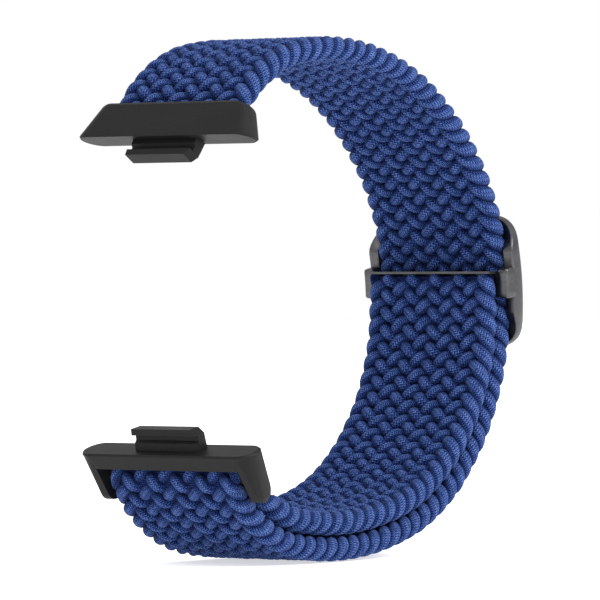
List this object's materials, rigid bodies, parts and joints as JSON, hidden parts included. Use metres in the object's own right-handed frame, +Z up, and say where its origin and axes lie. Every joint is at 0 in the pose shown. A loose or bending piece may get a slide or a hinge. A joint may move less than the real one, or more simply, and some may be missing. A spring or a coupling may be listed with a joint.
{
  "type": "tracker band",
  "caption": "Elastic braided wrist-tracker loop band with a hooked connector at each end, worn doubled through a sliding buckle that adjusts its length.",
  "frame": {"origin": "the middle of the band's box in X and Y, on the surface that the loop stands on", "axes": "+X across the band, -Y to the tracker side, +Y to the buckle side, +Z up from the doubled bottom of the loop to the top"},
  "size_m": [0.0256, 0.0672, 0.0653],
  "materials": {
    "braid": "navy heathered nylon and elastane cords, plain flat braid, soft matt sheen",
    "connector": "moulded charcoal plastic, fine matt grain",
    "buckle": "gunmetal satin plating with brighter edges",
    "pin": "drawn steel wire"
  },
  "bodies": {
    "loop": {"braid_top": "braid", "braid_shoulder": "braid", "braid_back": "braid", "braid_outer_hip": "braid", "braid_outer_bottom": "braid", "braid_inner_bottom": "braid", "braid_inner_hip": "braid", "braid_inner_back": "braid"},
    "buckle": {"buckle_frame": "buckle", "buckle_bar": "buckle", "braid_inner_end": "braid"},
    "upper_arm": {"braid_top_front": "braid", "braid_upper_front": "braid", "braid_tail": "braid"},
    "upper_end": {"upper_connector": "connector", "upper_pin": "pin"},
    "lower_arm": {"braid_outer_front": "braid", "braid_inner_front": "braid", "braid_fold": "braid"},
    "lower_end": {"lower_connector": "connector", "lower_pin": "pin"}
  },
  "joints": [
    {"name": "buckle_slide", "type": "hinge", "parent": "loop", "child": "buckle", "pos_m": [0, 0.00288, 0.03193], "axis": [1, 0, 0], "range_deg": [-10, 15], "deforming": ["braid_inner_back"]},
    {"name": "upper_flex", "type": "hinge", "parent": "loop", "child": "upper_arm", "pos_m": [0, -0.00381, 0.06363], "axis": [-1, 0, 0], "range_deg": [-10, 25], "stiffness_Nm_per_rad": 0.03},
    {"name": "lower_flex", "type": "hinge", "parent": "loop", "child": "lower_arm", "pos_m": [0, -0.01609, 0.00386], "axis": [1, 0, 0], "range_deg": [-10, 20], "stiffness_Nm_per_rad": 0.03},
    {"name": "upper_swivel", "type": "hinge", "parent": "upper_arm", "child": "upper_end", "pos_m": [0, -0.02993, 0.05371], "axis": [1, 0, 0], "range_deg": [-7, 7]},
    {"name": "lower_swivel", "type": "hinge", "parent": "lower_arm", "child": "lower_end", "pos_m": [0, -0.02814, 0.01081], "axis": [1, 0, 0], "range_deg": [-30, 30]}
  ]
}
